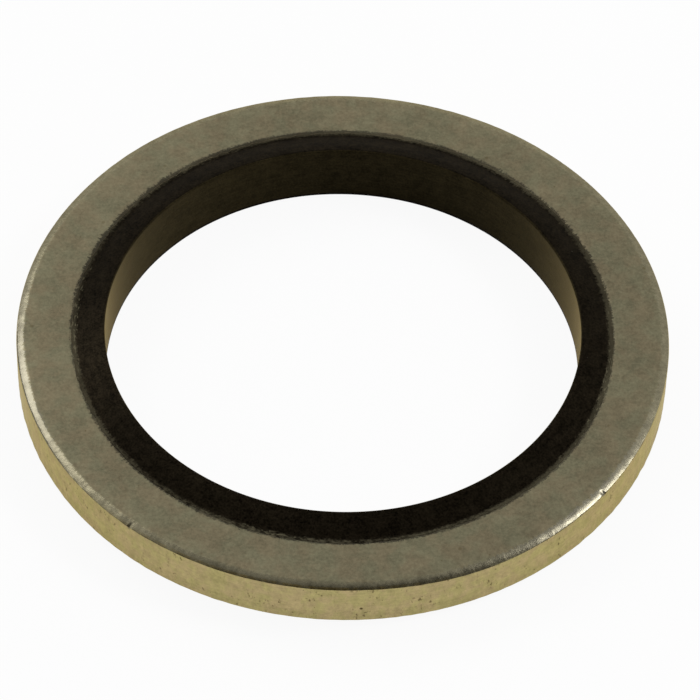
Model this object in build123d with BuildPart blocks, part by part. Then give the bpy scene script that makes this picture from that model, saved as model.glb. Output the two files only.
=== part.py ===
from build123d import *
import os

# Bonded sealing washer: a flat steel ring with a rubber sealing ring moulded and bonded into its bore.
# The frame has +Z along the bore's axis and its origin on that axis at mid-thickness; the ring lies flat.
# Each piece is one turned form. Its half section is drawn on the XZ plane, where the sketch's X is the
# radius and its Y is the height, and is revolved about the Z axis. Lengths are in millimetres.

# Driving dimensions
outer_diameter = 31.75
ring_thickness = 2.49
ring_bore_diameter = 25.80
seal_bore_diameter = 23.15
lip_proud = 0.39  # each sealing lip stands this far above the ring's face

# Edges of the blanked ring
die_roll_width = 0.45  # the blanking die draws the upper rim down over this width
die_roll_depth = 0.16
rolled_edge_width = 0.45  # both edges of the bore are rolled down, for the rubber to wrap over
rolled_edge_depth = 0.17
burr_break = 0.08  # the lower rim is the sheared side, and is only just broken

# Section of the moulded seal
crest_width = 0.63  # flat top of the lip, from the bore outwards
flank_width = 0.72  # sloping outer side of the lip, from the crest down to the film
crest_edge_radius = 0.12
flank_root_radius = 0.25
film_sink = 0.02  # the film on the rolled edge lies this far below the ring's face
bore_chamfer = 0.10

# Radii and heights that the sections share
rim_radius = outer_diameter / 2
ring_bore_radius = ring_bore_diameter / 2
rolled_edge_radius = ring_bore_radius + rolled_edge_width
seal_bore_radius = seal_bore_diameter / 2
crest_radius = seal_bore_radius + crest_width
flank_root = crest_radius + flank_width
face_height = ring_thickness / 2
bore_wall_height = face_height - rolled_edge_depth
film_height = face_height - film_sink
crest_height = face_height + lip_proud

inwards = (-1, 0)
outwards = (1, 0)

# The steel ring. Its rolled edges and its die roll are arcs that leave the flat faces tangentially.
with BuildPart() as metal_ring:
    with BuildSketch(Plane.XZ) as ring_section:
        with BuildLine():
            upper_face = Line((rolled_edge_radius, face_height), (rim_radius - die_roll_width, face_height))
            die_roll = TangentArc(upper_face @ 1, (rim_radius, face_height - die_roll_depth), tangent=outwards)
            rim_wall = Line(die_roll @ 1, (rim_radius, -face_height))
            lower_face = Line(rim_wall @ 1, (rolled_edge_radius, -face_height))
            lower_roll = TangentArc(lower_face @ 1, (ring_bore_radius, -bore_wall_height), tangent=inwards)
            bore_wall = Line(lower_roll @ 1, (ring_bore_radius, bore_wall_height))
            TangentArc(upper_face @ 0, bore_wall @ 1, tangent=inwards)
        make_face()
        sheared_corner = vertices().group_by(Axis.X)[-1].sort_by(Axis.Y)[0]
        chamfer(sheared_corner, burr_break)
    revolve(axis=Axis.Z)

metal_ring.part.label = "metal_ring"

# The rubber seal. A lip stands proud above and below: a flat crest beside the bore, a sloping flank,
# and a thin film that feathers out on the ring's rolled edge. The outline runs on into the steel, and
# the ring's own section is then cut from it, so that the two seat face to face at the bond.
with BuildPart() as rubber_seal:
    with BuildSketch(Plane.XZ):
        with BuildLine():
            Polyline(
                (seal_bore_radius, 0),
                (seal_bore_radius, crest_height),
                (crest_radius, crest_height),
                (flank_root, film_height),
                (rolled_edge_radius, film_height),
                (rolled_edge_radius, 0),
            )
            mirror(about=Plane.XZ)
        make_face()
        bore_corners = vertices().group_by(Axis.X)[0]
        chamfer(bore_corners, bore_chamfer)
        crest_corners = vertices().filter_by_position(Axis.X, crest_radius, crest_radius)
        fillet(crest_corners, crest_edge_radius)
        root_corners = vertices().filter_by_position(Axis.X, flank_root, flank_root)
        fillet(root_corners, flank_root_radius)
        add(ring_section.sketch_local, mode=Mode.SUBTRACT)
    revolve(axis=Axis.Z)

rubber_seal.part.label = "rubber_seal"

os.makedirs("parts", exist_ok=True)
export_step(metal_ring.part, "parts/metal_ring.step")
export_step(rubber_seal.part, "parts/rubber_seal.step")
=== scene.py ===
import math

import bpy
import numpy as np
from mathutils import Matrix, Vector


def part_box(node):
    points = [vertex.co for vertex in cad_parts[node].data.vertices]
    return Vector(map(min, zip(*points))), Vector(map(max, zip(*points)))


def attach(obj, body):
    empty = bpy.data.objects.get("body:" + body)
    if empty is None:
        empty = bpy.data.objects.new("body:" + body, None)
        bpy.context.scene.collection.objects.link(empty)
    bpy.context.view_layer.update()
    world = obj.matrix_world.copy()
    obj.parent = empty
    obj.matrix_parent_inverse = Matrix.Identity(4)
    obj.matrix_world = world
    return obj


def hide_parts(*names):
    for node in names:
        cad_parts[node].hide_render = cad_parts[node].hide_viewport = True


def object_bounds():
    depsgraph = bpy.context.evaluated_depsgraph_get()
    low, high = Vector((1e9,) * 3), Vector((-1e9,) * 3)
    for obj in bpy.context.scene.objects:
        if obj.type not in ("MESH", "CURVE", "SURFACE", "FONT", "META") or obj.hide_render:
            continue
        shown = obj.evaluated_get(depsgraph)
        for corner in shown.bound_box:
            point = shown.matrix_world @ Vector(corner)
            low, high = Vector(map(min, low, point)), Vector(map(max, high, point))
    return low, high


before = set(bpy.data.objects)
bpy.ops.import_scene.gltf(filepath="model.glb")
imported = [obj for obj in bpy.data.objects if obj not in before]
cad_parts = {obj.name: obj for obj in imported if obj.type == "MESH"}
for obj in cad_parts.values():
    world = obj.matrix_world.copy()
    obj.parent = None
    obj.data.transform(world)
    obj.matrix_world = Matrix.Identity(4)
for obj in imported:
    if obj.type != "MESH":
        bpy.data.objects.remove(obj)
cad_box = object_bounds()

bl_info = {
    "name": "Bonded Sealing Washer",
    "version": (1, 0, 0),
    "blender": (4, 5, 0),
    "location": "View3D > Sidebar > Washer",
    "description": "Makes a zinc-plated steel washer with a rubber sealing ring bonded into its bore",
    "category": "Add Mesh",
}

MM = 0.001
RING_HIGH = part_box("metal_ring")[1]
SEAL_LOW, SEAL_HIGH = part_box("rubber_seal")

# Steps round each piece.
RING_STEPS = 1680
SEAL_STEPS = 1440

# Places round the ring are in degrees from +X, so the front of the washer lies at 270. The die bit
# deepest at the front right, and the roll is steepest a little before that. The left is rubbed round.
DEEP_SIDE = 303.0
DEEP_SPAN = 22.0
STEEP_SIDE = 294.2
STEEP_SPAN = 12.1
WORN_SIDE = 198.0
WORN_SPAN = 24.0

# Clear nicks in the upper rim: the place, then half the width and the depth in mm.
NICKS = (
    (231.8, 0.08, 0.050),
    (322.6, 0.10, 0.055),
)
FAINT_NICKS = 26

# How far in from the rim the die roll and the dubbed face have their points, in mm.
ROLL_STOPS = np.concatenate([
    np.arange(0.04, 0.33, 0.04),
    np.arange(0.35, 0.45, 0.03),
    (0.48, 0.60, 0.80, 1.05, 1.40, 1.75),
])

# Stretches of the ring where the finish differs, some of them painted light or shade: the place of the
# middle and the reach to each side.
HAIRY_FILM = ((35.0, 60.0), (150.0, 65.0))
FRAYED_FILM = (216.0, 36.0)
BROKEN_FILM = (262.0, 90.0)
DARKER_FILM = (162.0, 30.0)
FLECKED_FILM = ((180.0, 24.0), (345.0, 35.0), (255.0, 20.0))
# Partly painted highlight: these rubbed stretches are where the lamps glint on the roll, and there the roll
# takes the whiter worn tint.
RUBBED_AND_HIGHLIGHT_RIM = ((318.0, 36.0), (192.0, 34.0))
# Painted dark reflection along the front of the upper rim: a brown band on the roll, and a dark line at the
# rim's edge.
PAINTED_BROWN_RIM = (264.0, 52.0)
PAINTED_DARK_RIM = ((272.0, 85.0), (325.0, 32.0))

# The same with an amount: how far the film draws back in mm, and how much paler or darker the rubber is
# painted, as a share of its tint: painted highlights on the left and near left, painted shade on the near
# side and far right.
FILM_SHIFTS = ((115.0, 100.0, -0.08), (10.0, 55.0, 0.08), (190.0, 22.0, 0.06))
RUBBER_PAINTED_LIGHT = ((192.0, 26.0, 1.10), (240.0, 40.0, 0.15), (35.0, 65.0, -0.12), (280.0, 70.0, -0.15))

# The deeper pit in the front of the rim wall: its place, and its height and width in mm.
PIT_PLACE = 274.4
PIT_HEIGHT = -0.32
PIT_WIDTH = 0.22

# How far the bore wall's lighter material, partly painted light, runs into the rounded edges, and how high
# above the seal's lowest point it starts, in mm.
WALL_REACH = 0.06
WALL_START = 0.15

# How deep the grain is cut into each surface, in mm.
PLATE_RELIEF = 0.004
RUBBER_RELIEF = 0.003

# Hues that the plate drifts between, as factors on its tint.
FACE_OLIVE = (0.975, 1.01, 1.0)
FACE_BROWN = (1.03, 0.975, 0.96)
WALL_OLIVE = (0.985, 1.01, 0.95)
WALL_BROWN = (1.025, 0.97, 1.06)
# Painted brown: the factor that browns the roll where the front rim's dark reflection is painted.
PAINTED_BROWN = (1.0, 0.84, 0.50)

# Hues of the reflections and of the soft sheen on rubber, with full alpha.
PLATE_GLINT = (0.90, 0.81, 0.58, 1.0)
RUBBER_GLINT = (1.0, 0.84, 0.55, 1.0)
RUBBER_SHEEN = (1.0, 0.76, 0.40, 1.0)
BORE_SHEEN = (1.0, 0.75, 0.28, 1.0)

# Soft strip lamps: the directions of both ends from the washer, then distance and width in metres.
LEFT_SOFTBOX = ((-0.56, 0.62, 0.55), (-0.45, 0.33, 0.83), 0.30, 0.11)
RIGHT_SOFTBOX = ((0.67, -0.08, 0.745), (0.725, 0.17, 0.675), 0.30, 0.085)
WHITE = (1.0, 1.0, 1.0, 1.0)


# ---------------------------------------------------------------------------------------------
# Sizes and colours
# ---------------------------------------------------------------------------------------------

def length(name, text, default):
    """A size that the sidebar shows in the scene's length unit."""
    return bpy.props.FloatProperty(
        name=name, description=text, default=default, min=0.0, unit="LENGTH", precision=5
    )


def share(name, text, default):
    """A number from 0 to 1."""
    return bpy.props.FloatProperty(
        name=name, description=text, default=default, min=0.0, max=1.0, subtype="FACTOR"
    )


def tint(name, text, default):
    """A colour, in linear light."""
    return bpy.props.FloatVectorProperty(
        name=name, description=text, default=default, size=3, min=0.0, max=1.0, subtype="COLOR"
    )


class WasherRingSettings(bpy.types.PropertyGroup):
    """The blanked steel ring and its zinc plate."""

    rim_radius: length("Rim radius", "Outside radius of the ring", RING_HIGH.x)
    face_height: length("Face height", "Height of the upper face above mid-thickness", RING_HIGH.z)
    bore_radius: length("Bore radius", "Radius of the steel behind the rubber", 12.90 * MM)
    rolled_width: length("Rolled edge width", "How far the bore's rolled edges reach", 0.45 * MM)
    rolled_depth: length("Rolled edge depth", "How deep the bore's rolled edges are", 0.17 * MM)
    roll_width: length("Die roll width", "Width of the steep part of the upper rim's roll", 0.40 * MM)
    roll_reach: length("Dubbing width", "How far the face falls off before the roll", 1.25 * MM)
    corner_radius: length("Corner radius", "Rounding between the die roll and the rim wall", 0.07 * MM)
    burr_break: length("Burr break", "Size of the broken lower corner", 0.08 * MM)
    face_tint: tint("Face", "Colour of the plate on the flat faces", (0.1600, 0.1435, 0.0912))
    # Painted reflection: the rim wall's tint is brighter and yellower than the faces', and its yellow
    # stands in for the warm reflection of the floor.
    wall_tint_and_warm_reflection: tint("Rim wall", "Colour of the plate on the sheared rim", (0.400, 0.338, 0.158))
    roll_tint: tint("Die roll", "Colour of the plate on the upper rim's roll", (0.178, 0.161, 0.105))
    # Worn tint, whiter than the roll's and laid where the lamps glint: partly real rubbing, partly a
    # painted highlight colour.
    worn_and_highlight_tint: tint("Worn edge", "Colour of the plate where the rim is rubbed", (0.182, 0.168, 0.125))
    # Stain tint, used for the real pits and specks and also for the painted dark line along the front of
    # the upper rim.
    stain_and_shade_tint: tint("Stain", "Colour of pits and brown specks", (0.085, 0.062, 0.028))
    roughness: share("Roughness", "Roughness of the plated face", 0.42)


class WasherSealSettings(bpy.types.PropertyGroup):
    """The moulded rubber seal."""

    bore_radius: length("Bore radius", "Inside radius of the rubber", 11.575 * MM)
    crest_height: length("Crest height", "Height of the lip above mid-thickness", SEAL_HIGH.z)
    crest_width: length("Crest width", "Width of the lip's flat top", 0.63 * MM)
    flank_width: length("Flank width", "Width of the lip's sloping side", 0.72 * MM)
    edge_radius: length("Edge radius", "Rounding of the lip's inner edge", 0.08 * MM)
    crest_ease: share("Crest ease", "Share of the lip over which its top turns into the flank", 0.60)
    crest_fall: share("Crest fall", "Slope of the lip's top as a share of the flank's slope", 0.50)
    film_sink: length("Film sink", "How far the film lies below the steel face", 0.02 * MM)
    rubber_tint: tint("Rubber", "Colour of the rubber", (0.0084, 0.0064, 0.0038))
    # Lighter, browner rubber on the bore wall: partly the bore's own skin, partly painted light for how the
    # far bore wall is lit.
    bore_tint_and_painted_light: tint("Bore", "Colour of the rubber on the wall of the bore", (0.0215, 0.0167, 0.0076))
    dust_tint: tint("Dust", "Colour of the dust specks", (0.110, 0.100, 0.080))
    roughness: share("Roughness", "Roughness of the moulded skin", 0.38)


class WasherStageSettings(bpy.types.PropertyGroup):
    """Floor, light and camera."""

    floor_size: length("Floor size", "Side of the square floor", 6.0)
    left_lamp: bpy.props.FloatProperty(
        name="Left lamp", description="Power of the left softbox in watts", default=0.148, min=0.0
    )
    right_lamp: bpy.props.FloatProperty(
        name="Right lamp", description="Power of the right softbox in watts", default=0.24, min=0.0
    )
    camera_distance: length("Camera distance", "From the camera to the upper face", 0.2435)
    camera_elevation: bpy.props.FloatProperty(
        name="Camera elevation", description="Height of the camera above the horizon",
        default=math.radians(49.33), subtype="ANGLE",
    )
    camera_roll: bpy.props.FloatProperty(
        name="Camera roll", description="Turn of the camera about its own axis",
        default=math.radians(1.54), subtype="ANGLE",
    )
    lens: bpy.props.FloatProperty(
        name="Lens", description="Focal length in millimetres", default=257.4, min=1.0
    )
    aim_right: length("Aim right", "How far right of the centre the camera aims", 0.34 * MM)
    aim_down: length("Aim down", "How far below the centre the camera aims", 0.94 * MM)
    overhead: share("Overhead", "Brightness of the room overhead", 0.6)
    front: share("Front", "Brightness of the room in front, above the horizon", 0.15)


# ---------------------------------------------------------------------------------------------
# Turned meshes
# ---------------------------------------------------------------------------------------------

def wander(angles, slowest, fastest, seed):
    """A smooth closed random curve round the ring, about -1 to 1, between two counts of waves."""
    draw = np.random.default_rng(seed)
    total = np.zeros_like(angles)
    power = 0.0
    for waves in range(slowest, fastest + 1):
        height = draw.normal()
        phase = draw.uniform(0.0, 2.0 * math.pi)
        total += height * np.cos(waves * angles + phase)
        power += 0.5 * height * height
    return total / math.sqrt(power) / 2.0


class Section:
    """A closed section of a turned piece; every point is given for all the angles round the ring."""

    def __init__(self, angles):
        self.level = np.zeros_like(angles)
        self.radii = []
        self.heights = []

    def point(self, radius, height):
        """Add a point; its radius and height are numbers, or hold one value for each angle."""
        self.radii.append(self.level + radius)
        self.heights.append(self.level + height)

    def line(self, start, end, inner_points):
        """Points between start and end, both left out."""
        for part in np.linspace(0.0, 1.0, inner_points + 2)[1:-1]:
            self.point(start[0] + part * (end[0] - start[0]), start[1] + part * (end[1] - start[1]))

    def arrays(self):
        """(radii, heights), one row for each angle and one column for each point."""
        return np.stack(self.radii, axis=1), np.stack(self.heights, axis=1)


def bore_roll_radius(ring):
    """Radius of the arc of the bore's rolled edges."""
    return (ring.rolled_width ** 2 + ring.rolled_depth ** 2) / (2.0 * ring.rolled_depth)


def bore_roll(ring, reach):
    """Fall of the bore's rolled edge at a distance inwards from where the flat face ends."""
    radius = bore_roll_radius(ring)
    return radius - np.sqrt(radius * radius - reach * reach)


def turned_mesh(name, radii, heights, angles):
    """A closed mesh from sections: radii and heights hold one row for each angle and close in a loop."""
    rows, points = radii.shape
    places = np.empty((rows, points, 3))
    places[..., 0] = radii * np.cos(angles)[:, None]
    places[..., 1] = radii * np.sin(angles)[:, None]
    places[..., 2] = heights
    row = np.arange(rows)[:, None]
    point = np.arange(points)[None, :]
    next_row = (row + 1) % rows
    next_point = (point + 1) % points
    corners = np.stack(
        [
            row * points + point,
            next_row * points + point,
            next_row * points + next_point,
            row * points + next_point,
        ],
        axis=-1,
    ).reshape(-1, 4)
    mesh = bpy.data.meshes.new(name)
    mesh.vertices.add(rows * points)
    mesh.vertices.foreach_set("co", places.reshape(-1))
    mesh.loops.add(corners.size)
    mesh.loops.foreach_set("vertex_index", corners.reshape(-1).astype(np.int32))
    mesh.polygons.add(len(corners))
    mesh.polygons.foreach_set("loop_start", np.arange(0, corners.size, 4, dtype=np.int32))
    mesh.polygons.foreach_set("use_smooth", np.ones(len(corners), dtype=bool))
    mesh.update(calc_edges=True)
    if mesh.validate():
        raise ValueError(f"The mesh of {name} has faults")
    piece = bpy.data.objects.new(name, mesh)
    bpy.context.scene.collection.objects.link(piece)
    return piece


def turned_from(angles, degrees):
    """How far each angle lies from a place on the ring, from -pi to pi."""
    return (angles - math.radians(degrees) + math.pi) % (2.0 * math.pi) - math.pi


def nick_depths(angles, rim):
    """Depth of the nicks in the upper rim corner: two clear ones and a scatter of faint ones."""
    draw = np.random.default_rng(77)
    nicks = list(NICKS)
    for _ in range(FAINT_NICKS):
        nicks.append((draw.uniform(0.0, 360.0), draw.uniform(0.06, 0.12), draw.uniform(0.003, 0.010)))
    depth = np.zeros_like(angles)
    for place, half_width, deepest in nicks:
        across = np.abs(turned_from(angles, place)) * rim / (half_width * MM)
        depth = np.maximum(depth, deepest * MM * np.clip(1.25 - across, 0.0, 1.0))
    return depth


def near_place(angles, degrees, span):
    """1 at a place on the ring, falling smoothly to 0 over a few spans on both sides, in degrees."""
    return np.exp(-((turned_from(angles, degrees) / math.radians(span)) ** 2))


def rim_roll(section, ring, angles):
    """Upper rim, from the wall inwards: rounded corner, worn roll, ragged break, faintly dubbed face.

    The roll's slope goes from steep at the corner to gentle at the face; dub is the slope added by
    the dubbing. All three follow how deep the die bit.
    """
    rim, face = ring.rim_radius, ring.face_height
    bitten = near_place(angles, DEEP_SIDE, DEEP_SPAN)
    worn = near_place(angles, WORN_SIDE, WORN_SPAN)
    steepest = near_place(angles, STEEP_SIDE, STEEP_SPAN)
    steep = 0.42 - 0.07 * bitten ** 2 + 0.16 * steepest
    dub = 0.05 + 0.25 * bitten
    gentle = 0.16 - 0.10 * bitten
    power = 2.0 + 0.4 * bitten
    corner = ring.corner_radius * (0.60 + 0.60 * bitten + 0.60 * worn)
    sway = 0.10 * wander(angles, 3, 24, 22) + 0.05 * wander(angles, 30, 150, 23)
    width = ring.roll_width * (1.0 + sway)
    reach = ring.roll_reach * (1.0 + 0.40 * bitten + 0.10 * wander(angles, 3, 12, 24))
    torn = 0.0014 * MM * np.clip(wander(angles, 150, 600, 21), -1.0, 1.0)
    soft = 0.002 * MM

    def fall(stop, dents):
        """Drop below the face at a distance in from the rim; roll and face meet where they cross."""
        short = 1.0 - stop / width
        roll = gentle * short + (steep - gentle) * np.maximum(short, 0.0) ** power / power
        roll = width * roll + dents
        left = np.clip(1.0 - stop / reach, 0.0, 1.0)
        return 0.5 * dub * reach * left * left + 0.5 * (roll + np.sqrt(roll * roll + soft * soft))

    corner_slope = np.arctan(steep + dub)
    start = corner * (1.0 - np.sin(corner_slope))
    nick = nick_depths(angles, rim)
    centre = face - fall(start, 0.0) - corner * np.cos(corner_slope)
    for part in np.linspace(0.0, 1.0, 5):
        turn = math.pi / 2 + part * (corner_slope - math.pi / 2)
        bite = 0.7 * nick * np.sin(turn)
        radius = rim - corner + corner * np.sin(turn) - bite
        section.point(radius, centre + corner * np.cos(turn) - nick * np.cos(turn))
    beads = 0.0007 * MM * wander(angles, 160, 330, 25) + 0.0015 * MM * wander(angles, 40, 140, 26)
    for row, stop in enumerate(ROLL_STOPS):
        own = 0.0006 * MM * wander(angles, 90, 500, 260 + row)
        level = fall(stop * MM, own + beads + torn * np.clip(stop / 0.30, 0.0, 1.0))
        cut = nick * np.clip(1.15 - stop * MM / (0.62 * width), 0.0, 1.0)
        section.point(rim - stop * MM, face - level - cut)
    return centre


def ring_sections(ring, angles):
    """Sections of the steel ring, counter-clockwise from the lower end of its bore."""
    rim, face, bore = ring.rim_radius, ring.face_height, ring.bore_radius
    flat_end = bore + ring.rolled_width
    burr = ring.burr_break
    section = Section(angles)
    for part in np.linspace(1.0, 0.0, 6):
        reach = part * ring.rolled_width
        section.point(flat_end - reach, -face + bore_roll(ring, reach))
    section.line((flat_end, -face), (rim - burr, -face), 3)
    shear = 0.010 * MM * wander(angles, 20, 160, 13) - 0.018 * MM
    for turn in np.linspace(0.0, math.pi / 2, 5):
        section.point(rim - burr + (burr + shear) * math.sin(turn), -face + burr * (1.0 - math.cos(turn)))
    head = Section(angles)
    wall_head = rim_roll(head, ring, angles)
    wall_foot = -face + burr
    tear = 0.33 + 0.05 * wander(angles, 4, 60, 14)
    for part in np.linspace(0.0, 1.0, 11)[1:-1]:
        torn = np.clip(1.0 - part / tear, 0.0, 1.0)
        waves = 0.004 * MM * wander(angles, 6, 70, 15 + int(10 * part))
        section.point(rim - 0.004 * MM + waves + torn * shear, wall_foot + part * (wall_head - wall_foot))
    section.radii += head.radii
    section.heights += head.heights
    section.line((rim - 1.6 * ring.roll_reach, face), (flat_end + 0.02 * MM, face), 2)
    for part in np.linspace(0.0, 1.0, 8):
        reach = part * ring.rolled_width
        section.point(flat_end - reach, face - bore_roll(ring, reach))
    section.point(bore, 0.0)
    return section.arrays()


def seal_lip(section, seal, ring, angles, side, seed):
    """One lip of the seal, from mid-bore over the crest and the flank to the middle of the bond."""
    face = ring.face_height
    inner = seal.bore_radius
    root = inner + seal.crest_width + seal.flank_width
    flat_end = ring.bore_radius + ring.rolled_width
    sway = 0.003 * MM
    crest = seal.crest_height - sway + sway * np.clip(wander(angles, 3, 14, seed), -1.0, 1.0)
    sink = seal.film_sink * np.exp(0.5 * np.clip(wander(angles, 5, 150, seed + 1), -1.0, 1.0))
    film = face - sink
    edge = seal.edge_radius

    def add(radius, height):
        section.point(radius, side * height)

    for part in (0.0, 0.4, 0.75, 0.93):
        add(inner, part * (crest - edge))
    for turn in np.linspace(0.0, math.pi / 2, 6):
        add(inner + edge * (1.0 - math.cos(turn)), crest - edge * (1.0 - math.sin(turn)))
    ease = 0.07 * MM
    start = inner + edge
    parts = np.linspace(0.0, 1.0, 15)
    steepness = np.clip(parts / seal.crest_ease, 0.0, 1.0)
    steepness = seal.crest_fall + (1.0 - seal.crest_fall) * steepness * steepness * (3.0 - 2.0 * steepness)
    dropped = np.concatenate([[0.0], np.cumsum(0.5 * (steepness[1:] + steepness[:-1]))])
    for part, share_dropped in list(zip(parts, dropped / dropped[-1]))[1:-1]:
        add(start + part * (root - start), crest - share_dropped * (crest - film))
    slope = (crest - film) * steepness[-1] / dropped[-1] * (len(parts) - 1) / (root - start)
    for part in np.linspace(-0.8, 1.0, 4):
        add(root + part * ease, film + slope * ease * (0.5 - 0.5 * part) ** 2)
    film_reach = np.sqrt(2.0 * bore_roll_radius(ring) * sink - sink * sink)
    for part in (0.4, 0.8, 1.0):
        add(root + ease + part * (flat_end - film_reach - root - ease), film)
    for part in (0.25, 0.5, 0.75, 1.0):
        reach = film_reach + part * (ring.rolled_width - film_reach)
        add(flat_end - reach, face - bore_roll(ring, reach))


def bore_faces(piece, radii, heights, bore_radius):
    """Give the straight wall of the bore the piece's second material."""
    outer_end = np.maximum(radii, np.roll(radii, -1, axis=1))
    lower_end = np.minimum(heights, np.roll(heights, -1, axis=1))
    on_wall = (outer_end < bore_radius + WALL_REACH * MM) & (lower_end > SEAL_LOW.z + WALL_START * MM)
    piece.data.polygons.foreach_set("material_index", on_wall.reshape(-1).astype(np.int32))


def seal_sections(seal, ring, angles):
    """Sections of the rubber seal, counter-clockwise from the middle of its bore."""
    lower = Section(angles)
    seal_lip(lower, seal, ring, angles, -1.0, 51)
    upper = Section(angles)
    seal_lip(upper, seal, ring, angles, 1.0, 31)
    lower.radii += upper.radii[:0:-1]
    lower.heights += upper.heights[:0:-1]
    return lower.arrays()


# ---------------------------------------------------------------------------------------------
# Materials
# ---------------------------------------------------------------------------------------------

class Shading:
    """Short ways to add nodes to one material, or to the world."""

    def __init__(self, owner, output):
        self.owner = owner
        owner.use_nodes = True
        self.tree = owner.node_tree
        self.tree.nodes.clear()
        self.output = self.node(output)

    def node(self, kind):
        return self.tree.nodes.new(kind)

    def link(self, value, socket):
        """Link a socket, or write a plain number or colour."""
        if isinstance(value, bpy.types.NodeSocket):
            self.tree.links.new(value, socket)
        else:
            socket.default_value = value

    def maths(self, operation, *values):
        node = self.node("ShaderNodeMath")
        node.operation = operation
        for value, socket in zip(values, node.inputs):
            self.link(value, socket)
        return node.outputs[0]

    def chain(self, operation, *values):
        """One operation of two values, carried on along a list of values."""
        result = values[0]
        for value in values[1:]:
            result = self.maths(operation, result, value)
        return result

    def vector(self, operation, first, second=None, scale=None):
        node = self.node("ShaderNodeVectorMath")
        node.operation = operation
        self.link(first, node.inputs[0])
        if second is not None:
            self.link(second, node.inputs[1])
        if scale is not None:
            self.link(scale, node.inputs["Scale"])
        return node.outputs["Value"] if operation == "LENGTH" else node.outputs["Vector"]

    def ramp(self, value, low, high, at_low=0.0, at_high=1.0):
        """Smooth change from at_low to at_high as value goes from low to high."""
        node = self.node("ShaderNodeMapRange")
        node.interpolation_type = "SMOOTHSTEP"
        self.link(value, node.inputs["Value"])
        self.link(low, node.inputs["From Min"])
        self.link(high, node.inputs["From Max"])
        self.link(at_low, node.inputs["To Min"])
        self.link(at_high, node.inputs["To Max"])
        return node.outputs["Result"]

    def noise(self, place, scale, detail=2.0, roughness=0.5):
        """A cloudy noise round 0.5; scale is how many of its waves fit in one unit of the place."""
        node = self.node("ShaderNodeTexNoise")
        self.link(place, node.inputs["Vector"])
        node.inputs["Scale"].default_value = scale
        node.inputs["Detail"].default_value = detail
        node.inputs["Roughness"].default_value = roughness
        return node.outputs["Fac"]

    def swing(self, noise, amount):
        """A noise turned into a swing about 0, amount from end to end."""
        return self.maths("MULTIPLY_ADD", noise, amount, -0.5 * amount)

    def mix(self, part, first, second):
        """The first colour where part is 0, the second where it is 1."""
        node = self.node("ShaderNodeMix")
        node.data_type = "RGBA"
        self.link(part, node.inputs["Factor"])
        self.link(first, node.inputs[6])
        self.link(second, node.inputs[7])
        return node.outputs[2]

    def find_places(self):
        """Keep the shaded point's place, radius and height in mm, and its place on the unit circle."""
        self.place = self.vector("SCALE", self.node("ShaderNodeTexCoord").outputs["Object"], scale=1.0 / MM)
        parts = self.node("ShaderNodeSeparateXYZ")
        self.link(self.place, parts.inputs[0])
        flat = self.node("ShaderNodeCombineXYZ")
        self.link(parts.outputs["X"], flat.inputs["X"])
        self.link(parts.outputs["Y"], flat.inputs["Y"])
        self.radius = self.vector("LENGTH", flat.outputs[0])
        self.height = parts.outputs["Z"]
        self.around = self.vector("NORMALIZE", flat.outputs[0])

    def ring_noise(self, along, across=0.0, upright=0.0, detail=3.0, roughness=0.6):
        """A noise that follows the ring: how fine it is along, across and up the ring, per mm."""
        ring_line = self.vector("SCALE", self.around, scale=along * RING_HIGH.x / MM)
        rest = self.node("ShaderNodeCombineXYZ")
        rise = self.maths("MULTIPLY", self.height, upright)
        self.link(self.maths("MULTIPLY_ADD", self.radius, across, rise), rest.inputs["Z"])
        return self.noise(self.vector("ADD", ring_line, rest.outputs[0]), 1.0, detail, roughness)

    def toward(self, degrees, reach):
        """1 at a place on the ring, falling to 0 at a reach to each side, both in degrees."""
        way = (math.cos(math.radians(degrees)), math.sin(math.radians(degrees)), 0.0)
        apart = self.vector("LENGTH", self.vector("SUBTRACT", self.around, way))
        return self.ramp(apart, 2.0 * math.sin(math.radians(0.5 * reach)), 0.0)

    def toward_any(self, stretches):
        """The strongest of several stretches of the ring."""
        return self.chain("MAXIMUM", *[self.toward(*stretch) for stretch in stretches])

    def shifted(self, value, stretches):
        """A value with its amount added on each stretch of the ring."""
        for degrees, reach, amount in stretches:
            value = self.maths("MULTIPLY_ADD", self.toward(degrees, reach), amount, value)
        return value

    def spots(self, spacing, size, kept):
        """Small round marks, 1 inside: one for some of the cells of a loose grid, spacing mm apart."""
        node = self.node("ShaderNodeTexVoronoi")
        self.link(self.place, node.inputs["Vector"])
        node.inputs["Scale"].default_value = 1.0 / spacing
        parts = self.node("ShaderNodeSeparateColor")
        self.link(node.outputs["Color"], parts.inputs[0])
        chosen = self.maths("GREATER_THAN", parts.outputs["Red"], 1.0 - kept)
        reach = self.ramp(parts.outputs["Green"], 0.0, 1.0, 0.35 * size / spacing, size / spacing)
        inside = self.ramp(self.maths("DIVIDE", node.outputs["Distance"], reach), 1.0, 0.45)
        return self.maths("MULTIPLY", inside, chosen)

    def spot_at(self, degrees, radius, height, size):
        """One round mark, size mm wide and 1 inside, centred at a place, radius and height."""
        turn = math.radians(degrees)
        centre = (radius * math.cos(turn), radius * math.sin(turn), height)
        apart = self.vector("LENGTH", self.vector("SUBTRACT", self.place, centre))
        return self.ramp(apart, 0.5 * size, 0.2 * size)

    def two_hues(self, base, first, second, part, tone):
        """A tint that drifts between two hues of itself, scaled by a tone."""
        first_hue = self.vector("MULTIPLY", tuple(base), first)
        second_hue = self.vector("MULTIPLY", tuple(base), second)
        return self.vector("SCALE", self.mix(part, first_hue, second_hue), scale=tone)

    def bump(self, height, distance):
        """A normal that shows a height as relief, distance metres deep."""
        node = self.node("ShaderNodeBump")
        node.inputs["Distance"].default_value = distance
        self.link(height, node.inputs["Height"])
        return node.outputs["Normal"]

    def principled(self, **plain):
        """The surface's shader, with its plain inputs set by name."""
        node = self.node("ShaderNodeBsdfPrincipled")
        for name, value in plain.items():
            node.inputs[name.replace("_", " ")].default_value = value
        self.link(node.outputs[0], self.output.inputs["Surface"])
        return node


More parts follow.
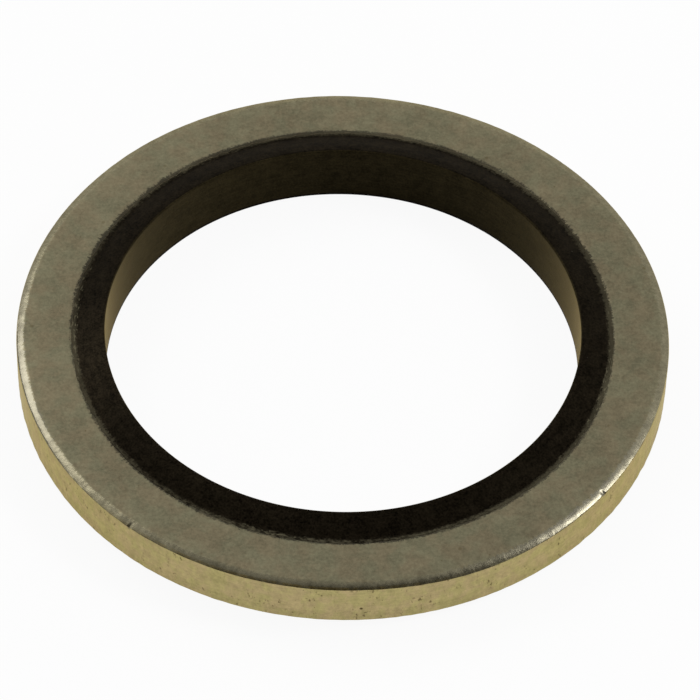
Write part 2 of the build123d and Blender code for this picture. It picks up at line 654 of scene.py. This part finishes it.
def material_shading(name):
    """The shading of a new material."""
    return Shading(bpy.data.materials.new(name), "ShaderNodeOutputMaterial")


def solid(colour):
    """A colour with full alpha."""
    return (*colour, 1.0)


def film_cover(s, ring):
    """How much black film covers the bore's rolled edge: 0 on plate, 1 on rubber, ragged between."""
    edge = (ring.bore_radius + ring.rolled_width) / MM
    drift = s.ring_noise(along=0.25, detail=2.0, roughness=0.5)
    streaks = s.ring_noise(along=1.6, across=8.0, detail=3.0, roughness=0.6)
    crumbs = s.noise(s.place, 11.0, detail=4.0, roughness=0.75)
    hairs = s.ring_noise(along=6.0, across=1.5, detail=4.0, roughness=0.7)
    hairy = s.toward_any(HAIRY_FILM)
    frayed = s.maths("MAXIMUM", hairy, s.maths("MULTIPLY", s.toward(*FRAYED_FILM), 0.9))
    shift = s.chain("ADD", s.swing(streaks, 0.22), s.swing(crumbs, 0.40), s.swing(drift, 0.12))
    shift = s.maths("MULTIPLY_ADD", s.swing(hairs, 0.60), frayed, shift)
    moved = s.maths("ADD", s.radius, s.shifted(shift, FILM_SHIFTS))

    skin = s.maths("MULTIPLY_ADD", hairy, 0.07, s.ramp(drift, 0.35, 0.65, 0.62, 0.80))
    breaks = s.ring_noise(along=3.2, across=7.0, detail=3.0, roughness=0.7)
    broken = s.ramp(breaks, 0.38, 0.62, -0.10, 0.26)
    skin = s.maths("MULTIPLY_ADD", broken, s.toward(*BROKEN_FILM), skin)
    skin = s.maths("MULTIPLY_ADD", s.toward(*DARKER_FILM), 0.14, skin)
    thin = s.ramp(moved, edge - 0.01, edge - 0.12, 0.0, skin)
    sound = s.ramp(moved, edge - 0.25, edge - 0.42, 0.0, s.maths("SUBTRACT", 1.0, skin))

    flecked = s.toward_any(FLECKED_FILM)
    flecks = s.ring_noise(along=2.4, across=9.0, detail=2.0, roughness=0.6)
    flecks = s.maths("MULTIPLY_ADD", flecked, 0.08, flecks)
    bare = s.chain(
        "MULTIPLY",
        s.ramp(flecks, 0.62, 0.72),
        s.maths("MULTIPLY_ADD", flecked, 0.34, 0.15),
        s.ramp(s.radius, edge - 0.48, edge - 0.38),
    )
    return s.maths("MULTIPLY", s.maths("ADD", thin, sound), s.maths("SUBTRACT", 1.0, bare))


def plate_zones(s, rim, face, hairs):
    """(sheared wall, die roll) of the ring, 1 inside; fine hairs fray the roll's inner edge."""
    below_corner = s.ramp(s.height, face - 0.30, face - 0.38)
    on_wall = s.maths("MULTIPLY", s.ramp(s.radius, rim - 0.10, rim - 0.04), below_corner)
    on_wall = s.maths("MAXIMUM", on_wall, s.ramp(s.radius, rim - 0.030, rim - 0.012))
    on_roll = s.chain(
        "MULTIPLY",
        s.ramp(s.maths("MULTIPLY_ADD", hairs, 0.50, s.radius), rim - 0.17, rim - 0.07),
        s.maths("SUBTRACT", 1.0, on_wall),
        s.ramp(s.height, face - 0.9, face - 0.5),
    )
    return on_wall, on_roll


def face_plate(s, ring, rim, grain):
    """(colour, tone) of the flat faces: mottled grey, a little paler toward the rim."""
    mottle = s.noise(s.place, 2.0, detail=4.0, roughness=0.75)
    cloud = s.noise(s.place, 0.35, detail=2.0, roughness=0.5)
    tone = s.chain(
        "ADD",
        s.ramp(grain, 0.2, 0.8, 0.78, 1.22),
        s.ramp(mottle, 0.25, 0.75, -0.16, 0.16),
        s.ramp(cloud, 0.3, 0.7, -0.06, 0.06),
        s.ramp(s.radius, 0.90 * rim, 0.96 * rim, 0.0, 0.06),
    )
    hue = s.noise(s.place, 0.8, detail=3.0, roughness=0.6)
    hue = s.ramp(hue, 0.35, 0.65)
    return s.two_hues(ring.face_tint, FACE_OLIVE, FACE_BROWN, hue, tone), tone


def wall_plate(s, ring, grain, drawn):
    """Colour of the sheared rim wall, its yellower tint a painted warm reflection: drawn streaks, blotches
    and a duller torn foot.
    """
    blotch = s.ring_noise(along=2.8, upright=1.5, detail=5.0, roughness=0.8)
    tone = s.chain(
        "ADD",
        s.ramp(drawn, 0.25, 0.75, 0.93, 1.07),
        s.ramp(blotch, 0.25, 0.75, -0.15, 0.15),
        s.ramp(grain, 0.2, 0.8, -0.14, 0.14),
    )
    torn = s.ramp(s.maths("MULTIPLY_ADD", blotch, 0.5, s.height), -0.15, -0.55)
    tone = s.maths("MULTIPLY_ADD", torn, -0.09, tone)
    hue = s.noise(s.place, 1.5, detail=4.0, roughness=0.65)
    hue = s.ramp(hue, 0.38, 0.62)
    return s.two_hues(ring.wall_tint_and_warm_reflection, WALL_OLIVE, WALL_BROWN, hue, tone)


def plate_marks(s, rim, on_wall):
    """Pits and specks all over, short dashes on the wall, and the deeper pit in its front."""
    pits = s.maths("MULTIPLY", s.spots(spacing=1.0, size=0.15, kept=0.42), 0.42)
    specks = s.maths("MULTIPLY", s.spots(spacing=0.45, size=0.06, kept=0.10), 0.55)
    crowd = s.noise(s.place, 0.9, detail=2.0, roughness=0.5)
    dashes = s.ring_noise(along=5.5, upright=2.6, detail=3.0, roughness=0.6)
    dashes = s.maths("MULTIPLY_ADD", crowd, 0.35, dashes)
    dashes = s.maths("MULTIPLY", s.ramp(dashes, 0.80, 0.92, 0.0, 0.75), on_wall)
    return s.chain("MAXIMUM", pits, specks, dashes, s.spot_at(PIT_PLACE, rim, PIT_HEIGHT, PIT_WIDTH))


def painted_dark_rim(s, ring, rim, face, colour):
    """A colour with painted dark reflection along the front of the upper rim: a soft brown band on the
    roll, a dark line outside it.
    """
    shade_breakup = s.noise(s.place, 3.0, detail=3.0, roughness=0.6)
    shade_breakup = s.ramp(shade_breakup, 0.36, 0.60, 0.30, 1.0)
    shade_breakup = s.maths("MULTIPLY", shade_breakup, s.ramp(s.height, face - 0.34, face - 0.28))
    painted_brown_band = s.chain(
        "MULTIPLY",
        shade_breakup,
        s.toward(*PAINTED_BROWN_RIM),
        s.ramp(s.radius, rim - 0.170, rim - 0.080),
        s.ramp(s.radius, rim - 0.016, rim - 0.026),
    )
    colour = s.mix(painted_brown_band, colour, s.vector("MULTIPLY", colour, PAINTED_BROWN))
    painted_dark_line = s.chain(
        "MULTIPLY",
        shade_breakup,
        s.toward_any(PAINTED_DARK_RIM),
        s.ramp(s.radius, rim - 0.030, rim - 0.020),
        s.ramp(s.radius, rim - 0.003, rim - 0.009),
    )
    return s.mix(painted_dark_line, colour, solid(ring.stain_and_shade_tint))


def zinc_plate(ring, seal):
    """Dull zinc plate: warm grey faces, yellower sheared rim (painted warm reflection), whiter worn edge
    where the lamps glint (partly painted highlight), painted dark reflection and brown along the front rim,
    pits and brown specks.
    """
    s = material_shading("zinc_plate")
    s.find_places()
    rim = ring.rim_radius / MM
    face = ring.face_height / MM
    grain = s.noise(s.place, 6.5, detail=4.0, roughness=0.75)
    hairs = s.ring_noise(along=7.0, across=2.5, upright=2.5, detail=3.0, roughness=0.65)
    drawn = s.ring_noise(along=1.1, upright=9.0, detail=3.0, roughness=0.65)
    on_wall, on_roll = plate_zones(s, rim, face, hairs)

    colour, tone = face_plate(s, ring, rim, grain)
    # Partly painted highlight: the roll turns to the whiter worn tint where the lamps' highlights fall.
    roll_tint = s.mix(s.toward_any(RUBBED_AND_HIGHLIGHT_RIM), solid(ring.roll_tint), solid(ring.worn_and_highlight_tint))
    colour = s.mix(on_roll, colour, s.vector("SCALE", roll_tint, scale=tone))
    colour = s.mix(on_wall, colour, wall_plate(s, ring, grain, drawn))
    marks = plate_marks(s, rim, on_wall)
    colour = s.mix(marks, colour, solid(ring.stain_and_shade_tint))
    # Painted dark reflection and brown along the front of the upper rim.
    colour = painted_dark_rim(s, ring, rim, face, colour)
    cover = film_cover(s, ring)
    colour = s.mix(cover, colour, solid(seal.rubber_tint))

    shader = s.principled(IOR=1.5, Specular_IOR_Level=0.2, Specular_Tint=PLATE_GLINT)
    s.link(colour, shader.inputs["Base Color"])
    s.link(s.maths("SUBTRACT", 1.0, cover), shader.inputs["Metallic"])
    rough = s.ramp(grain, 0.3, 0.7, ring.roughness - 0.03, ring.roughness + 0.03)
    rough = s.maths("MULTIPLY_ADD", on_roll, -0.15, rough)
    rough = s.maths("MULTIPLY_ADD", cover, 0.10, rough)
    s.link(rough, shader.inputs["Roughness"])
    relief = s.maths("MULTIPLY_ADD", hairs, s.maths("MULTIPLY_ADD", on_roll, 0.35, 0.25), grain)
    relief = s.maths("MULTIPLY_ADD", marks, -1.2, relief)
    relief = s.maths("MULTIPLY_ADD", drawn, s.maths("MULTIPLY", on_wall, 0.7), relief)
    s.link(s.bump(relief, PLATE_RELIEF * MM), shader.inputs["Normal"])
    return s.owner


def rubber_skin(s, seal, shade, spread, painted_light):
    """(colour, grain, relief) of the moulded skin, with its clouds, mould lines and dust specks; the colour
    is scaled by painted light and shade.
    """
    grain = s.noise(s.place, 10.0, detail=4.0, roughness=0.7)
    mottle = s.noise(s.place, 2.5, detail=3.0, roughness=0.7)
    cloud = s.noise(s.place, 0.9, detail=3.0, roughness=0.6)
    drawn = s.ring_noise(along=0.7, across=9.0, upright=9.0, detail=2.0, roughness=0.5)
    tone = s.chain(
        "ADD",
        s.ramp(grain, 0.25, 0.75, 1.0 - spread, 1.0 + spread),
        s.ramp(mottle, 0.3, 0.7, -0.5 * spread, 0.5 * spread),
        s.ramp(cloud, 0.3, 0.7, -0.15, 0.15),
        s.ramp(drawn, 0.3, 0.7, -0.16, 0.16),
    )
    colour = s.vector("SCALE", tuple(shade), scale=s.maths("MULTIPLY", tone, painted_light))
    dust = s.maths("MULTIPLY", s.spots(spacing=0.7, size=0.05, kept=0.10), 0.6)
    colour = s.mix(dust, colour, solid(seal.dust_tint))
    relief = s.bump(s.maths("MULTIPLY_ADD", drawn, 0.6, grain), RUBBER_RELIEF * MM)
    return colour, grain, relief


def bore_rubber(seal):
    """The wall of the bore: the same rubber, lighter and a shade browner, partly as painted light on the
    lit far wall, and with a soft warm sheen.
    """
    s = material_shading("bore_rubber")
    s.find_places()
    colour, grain, relief = rubber_skin(s, seal, seal.bore_tint_and_painted_light, 0.35, 1.0)
    shader = s.principled(
        IOR=1.5, Specular_IOR_Level=0.006,
        Sheen_Weight=0.74, Sheen_Roughness=0.30, Sheen_Tint=BORE_SHEEN,
    )
    s.link(colour, shader.inputs["Base Color"])
    s.link(s.ramp(grain, 0.3, 0.7, seal.roughness, seal.roughness + 0.08), shader.inputs["Roughness"])
    s.link(relief, shader.inputs["Normal"])
    return s.owner


def moulded_rubber(seal, ring):
    """Black rubber with a faint brown sheen and painted light and shade round the ring; its thin film wears
    through to zinc at the outer edge.
    """
    s = material_shading("moulded_rubber")
    s.find_places()
    # Painted highlight and shade on the lip rubber, round the ring.
    painted_light = s.shifted(1.0, RUBBER_PAINTED_LIGHT)
    colour, grain, relief = rubber_skin(s, seal, seal.rubber_tint, 0.62, painted_light)
    cover = film_cover(s, ring)
    shader = s.principled(
        IOR=1.5, Specular_IOR_Level=0.010, Specular_Tint=RUBBER_GLINT,
        Sheen_Weight=0.15, Sheen_Roughness=0.30, Sheen_Tint=RUBBER_SHEEN,
    )
    s.link(s.mix(cover, solid(ring.face_tint), colour), shader.inputs["Base Color"])
    s.link(s.maths("SUBTRACT", 1.0, cover), shader.inputs["Metallic"])
    rough = s.ramp(grain, 0.3, 0.7, seal.roughness - 0.05, seal.roughness + 0.05)
    s.link(rough, shader.inputs["Roughness"])
    s.link(relief, shader.inputs["Normal"])
    return s.owner


def pale_floor():
    """White floor that keeps a soft shadow under the washer."""
    s = material_shading("pale_floor")
    matt = s.node("ShaderNodeBsdfDiffuse")
    grain = s.noise(s.node("ShaderNodeTexCoord").outputs["Object"], 300.0)
    s.link(s.mix(grain, (0.86, 0.86, 0.86, 1.0), (0.9, 0.9, 0.9, 1.0)), matt.inputs["Color"])
    glow = s.node("ShaderNodeEmission")
    s.link(WHITE, glow.inputs["Color"])
    s.link(1.0, glow.inputs["Strength"])
    rays = s.node("ShaderNodeLightPath").outputs
    seen = s.chain("MAXIMUM", rays["Is Camera Ray"], rays["Is Glossy Ray"], rays["Is Transmission Ray"])
    both = s.node("ShaderNodeMixShader")
    s.link(s.maths("MULTIPLY", seen, 0.93), both.inputs["Fac"])
    s.link(matt.outputs[0], both.inputs[1])
    s.link(glow.outputs[0], both.inputs[2])
    s.link(both.outputs[0], s.output.inputs["Surface"])
    return s.owner


# ---------------------------------------------------------------------------------------------
# Stage
# ---------------------------------------------------------------------------------------------

def studio_world(stage):
    """A pale room: bright near the horizon, dim overhead and in front, white to the camera."""
    world = bpy.data.worlds.new("studio")
    bpy.context.scene.world = world
    s = Shading(world, "ShaderNodeOutputWorld")
    parts = s.node("ShaderNodeSeparateXYZ")
    s.link(s.node("ShaderNodeTexCoord").outputs["Generated"], parts.inputs[0])
    up = parts.outputs["Z"]
    overhead = s.ramp(up, 0.80, 0.98, 1.0, stage.overhead)
    in_front = s.maths("MULTIPLY", s.ramp(parts.outputs["Y"], 0.15, -0.25), s.ramp(up, 0.12, 0.40))
    level = s.maths("MULTIPLY", overhead, s.ramp(in_front, 0.0, 1.0, 1.0, stage.front))
    level = s.maths("MAXIMUM", level, s.node("ShaderNodeLightPath").outputs["Is Camera Ray"])
    background = s.node("ShaderNodeBackground")
    s.link(level, background.inputs["Strength"])
    s.link(WHITE, background.inputs["Color"])
    s.link(background.outputs[0], s.output.inputs["Surface"])


def softbox(name, power, low, high, distance, width):
    """A soft strip lamp over the washer, from one direction to another, facing the washer."""
    start = Vector(low).normalized() * distance
    end = Vector(high).normalized() * distance
    lamp = bpy.data.lights.new(name, "AREA")
    lamp.shape = "RECTANGLE"
    lamp.size = width
    lamp.size_y = (end - start).length
    lamp.energy = power
    holder = bpy.data.objects.new(name, lamp)
    middle = (start + end) / 2
    back = middle.normalized()
    upward = (end - start).normalized()
    turn = Matrix((upward.cross(back), upward, back)).transposed()
    holder.matrix_world = Matrix.Translation(middle) @ turn.to_4x4()
    bpy.context.scene.collection.objects.link(holder)


def washer_camera(stage, face_height):
    """The camera looks down at the washer from the front, with a slight roll."""
    rise = stage.camera_elevation
    back = Vector((0.0, -math.cos(rise), math.sin(rise)))
    level_up = Vector((0.0, math.sin(rise), math.cos(rise)))
    side = Vector((1.0, 0.0, 0.0))
    right = side * math.cos(stage.camera_roll) + level_up * math.sin(stage.camera_roll)
    up = level_up * math.cos(stage.camera_roll) - side * math.sin(stage.camera_roll)
    centre = Vector((0.0, 0.0, face_height))
    aim = centre + right * stage.aim_right - up * stage.aim_down
    data = bpy.data.cameras.new("camera")
    data.lens = stage.lens
    data.sensor_width = 36.0
    data.clip_start = 0.01
    data.clip_end = 20.0
    camera = bpy.data.objects.new("camera", data)
    turn = Matrix((right, up, back)).transposed()
    camera.matrix_world = Matrix.Translation(aim + back * stage.camera_distance) @ turn.to_4x4()
    bpy.context.scene.collection.objects.link(camera)
    bpy.context.scene.camera = camera


# ---------------------------------------------------------------------------------------------
# Operators
# ---------------------------------------------------------------------------------------------

def round_angles(count):
    """Even angles round the ring, the first at +X."""
    return np.linspace(0.0, 2.0 * math.pi, count, endpoint=False)


class WASHER_OT_metal_ring(bpy.types.Operator):
    """Make the steel ring over its CAD solid"""

    bl_idname = "washer.metal_ring"
    bl_label = "Steel Ring"

    def execute(self, context):
        ring = context.scene.washer_ring
        angles = round_angles(RING_STEPS)
        radii, heights = ring_sections(ring, angles)
        piece = turned_mesh("steel_ring", radii, heights, angles)
        piece.data.materials.append(zinc_plate(ring, context.scene.washer_seal))
        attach(piece, "root")
        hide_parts("metal_ring")
        return {"FINISHED"}


class WASHER_OT_rubber_seal(bpy.types.Operator):
    """Make the moulded rubber seal over its CAD solid"""

    bl_idname = "washer.rubber_seal"
    bl_label = "Rubber Seal"

    def execute(self, context):
        seal = context.scene.washer_seal
        ring = context.scene.washer_ring
        angles = round_angles(SEAL_STEPS)
        radii, heights = seal_sections(seal, ring, angles)
        piece = turned_mesh("sealing_ring", radii, heights, angles)
        piece.data.materials.append(moulded_rubber(seal, ring))
        piece.data.materials.append(bore_rubber(seal))
        bore_faces(piece, radii, heights, seal.bore_radius)
        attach(piece, "root")
        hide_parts("rubber_seal")
        return {"FINISHED"}


class WASHER_OT_stage(bpy.types.Operator):
    """Make the floor, the light and the camera"""

    bl_idname = "washer.stage"
    bl_label = "Stage"

    def execute(self, context):
        stage = context.scene.washer_stage
        context.scene.view_settings.view_transform = "Standard"
        half = stage.floor_size / 2
        level = cad_box[0].z
        mesh = bpy.data.meshes.new("floor")
        mesh.from_pydata(
            [(-half, -half, level), (half, -half, level), (half, half, level), (-half, half, level)],
            [], [(0, 1, 2, 3)],
        )
        floor = bpy.data.objects.new("floor", mesh)
        context.scene.collection.objects.link(floor)
        mesh.materials.append(pale_floor())
        studio_world(stage)
        softbox("softbox_left", stage.left_lamp, *LEFT_SOFTBOX)
        softbox("softbox_right", stage.right_lamp, *RIGHT_SOFTBOX)
        washer_camera(stage, context.scene.washer_ring.face_height)
        return {"FINISHED"}


class WASHER_PT_sidebar(bpy.types.Panel):
    """Lists the washer's pieces and settings"""

    bl_label = "Bonded Sealing Washer"
    bl_idname = "WASHER_PT_sidebar"
    bl_space_type = "VIEW_3D"
    bl_region_type = "UI"
    bl_category = "Washer"

    def draw(self, context):
        for operator, settings in PIECES:
            box = self.layout.box()
            box.operator(operator.bl_idname)
            group = getattr(context.scene, settings)
            for name in group.__annotations__:
                box.prop(group, name)


SETTINGS = (
    ("washer_ring", WasherRingSettings),
    ("washer_seal", WasherSealSettings),
    ("washer_stage", WasherStageSettings),
)
PIECES = (
    (WASHER_OT_metal_ring, "washer_ring"),
    (WASHER_OT_rubber_seal, "washer_seal"),
    (WASHER_OT_stage, "washer_stage"),
)


def register():
    """Add the washer's settings, operators and panel."""
    for name, group in SETTINGS:
        bpy.utils.register_class(group)
        setattr(bpy.types.Scene, name, bpy.props.PointerProperty(type=group))
    for operator, _ in PIECES:
        bpy.utils.register_class(operator)
    bpy.utils.register_class(WASHER_PT_sidebar)


def unregister():
    """Take them away again."""
    bpy.utils.unregister_class(WASHER_PT_sidebar)
    for operator, _ in reversed(PIECES):
        bpy.utils.unregister_class(operator)
    for name, group in reversed(SETTINGS):
        delattr(bpy.types.Scene, name)
        bpy.utils.unregister_class(group)


def main():
    """Make the whole washer."""
    register()
    bpy.ops.washer.metal_ring()
    bpy.ops.washer.rubber_seal()
    bpy.ops.washer.stage()


if __name__ == "__main__":
    main()
